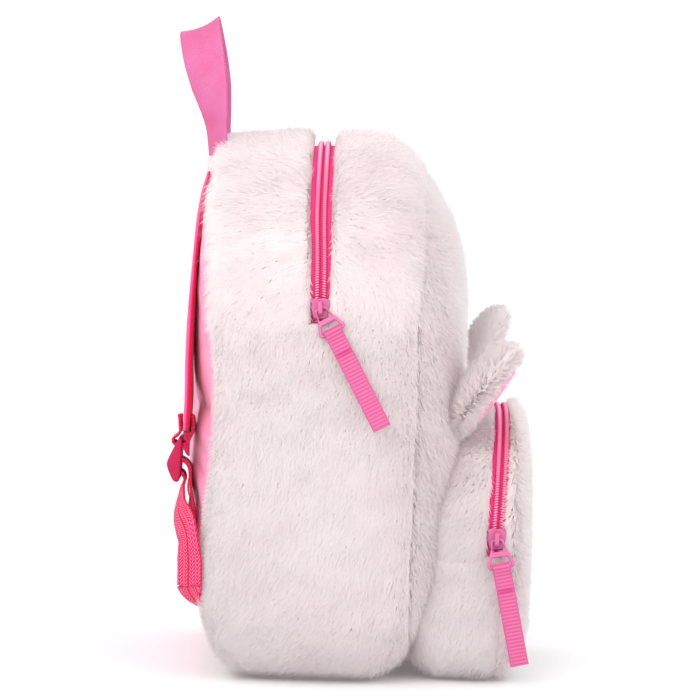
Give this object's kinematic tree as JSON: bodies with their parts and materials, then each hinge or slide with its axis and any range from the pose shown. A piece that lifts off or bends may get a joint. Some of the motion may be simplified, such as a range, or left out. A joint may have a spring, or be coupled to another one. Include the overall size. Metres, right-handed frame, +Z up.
{
  "type": "plush backpack",
  "caption": "Small child's backpack in pale plush fur with a padded smooth back, zipped main compartment, eared front pocket, padded straps and a webbing handle.",
  "frame": {"origin": "centre of the flat bottom of the main body", "axes": "+Z up, the front with the pocket faces -Y, and the wearer's left side is -X"},
  "size_m": [0.2424, 0.2043, 0.3614],
  "materials": {
    "fur": "cream-pink long-pile faux fur",
    "satin": "light pink smooth satin, padded",
    "strap_pad": "hot pink woven cloth, padded",
    "webbing": "hot pink herringbone webbing",
    "ribbon": "hot pink ribbed ribbon",
    "zip_tape": "hot pink woven zip tape",
    "zip_chain": "hot pink coil zip",
    "slider": "pink enamelled slider and pull",
    "buckle": "moulded deep pink plastic"
  },
  "bodies": {
    "root": {"front_panel": "fur", "back_panel": "satin", "gusset_top_rear": "fur", "gusset_top_front": "fur", "gusset_lower": "fur", "main_zip_tape": "zip_tape", "main_zip_chain": "zip_chain", "main_zip_slider": "slider", "main_zip_pull": "slider", "main_zip_ribbon": "ribbon", "pocket_gusset_top": "fur", "pocket_gusset_lower": "fur", "pocket_front": "fur", "pocket_zip_tape": "zip_tape", "pocket_zip_chain": "zip_chain", "pocket_zip_slider": "slider", "pocket_zip_pull": "slider", "pocket_zip_ribbon": "ribbon", "handle": "webbing", "ear_left": "fur", "ear_inner_left": "satin", "ear_right": "fur", "ear_inner_right": "satin", "strap_pad_left": "strap_pad", "strap_loop_left": "webbing", "strap_buckle_left": "buckle", "strap_webbing_left": "webbing", "strap_tab_left": "webbing", "strap_pad_right": "strap_pad", "strap_loop_right": "webbing", "strap_buckle_right": "buckle", "strap_webbing_right": "webbing", "strap_tab_right": "webbing"}
  },
  "joints": []
}
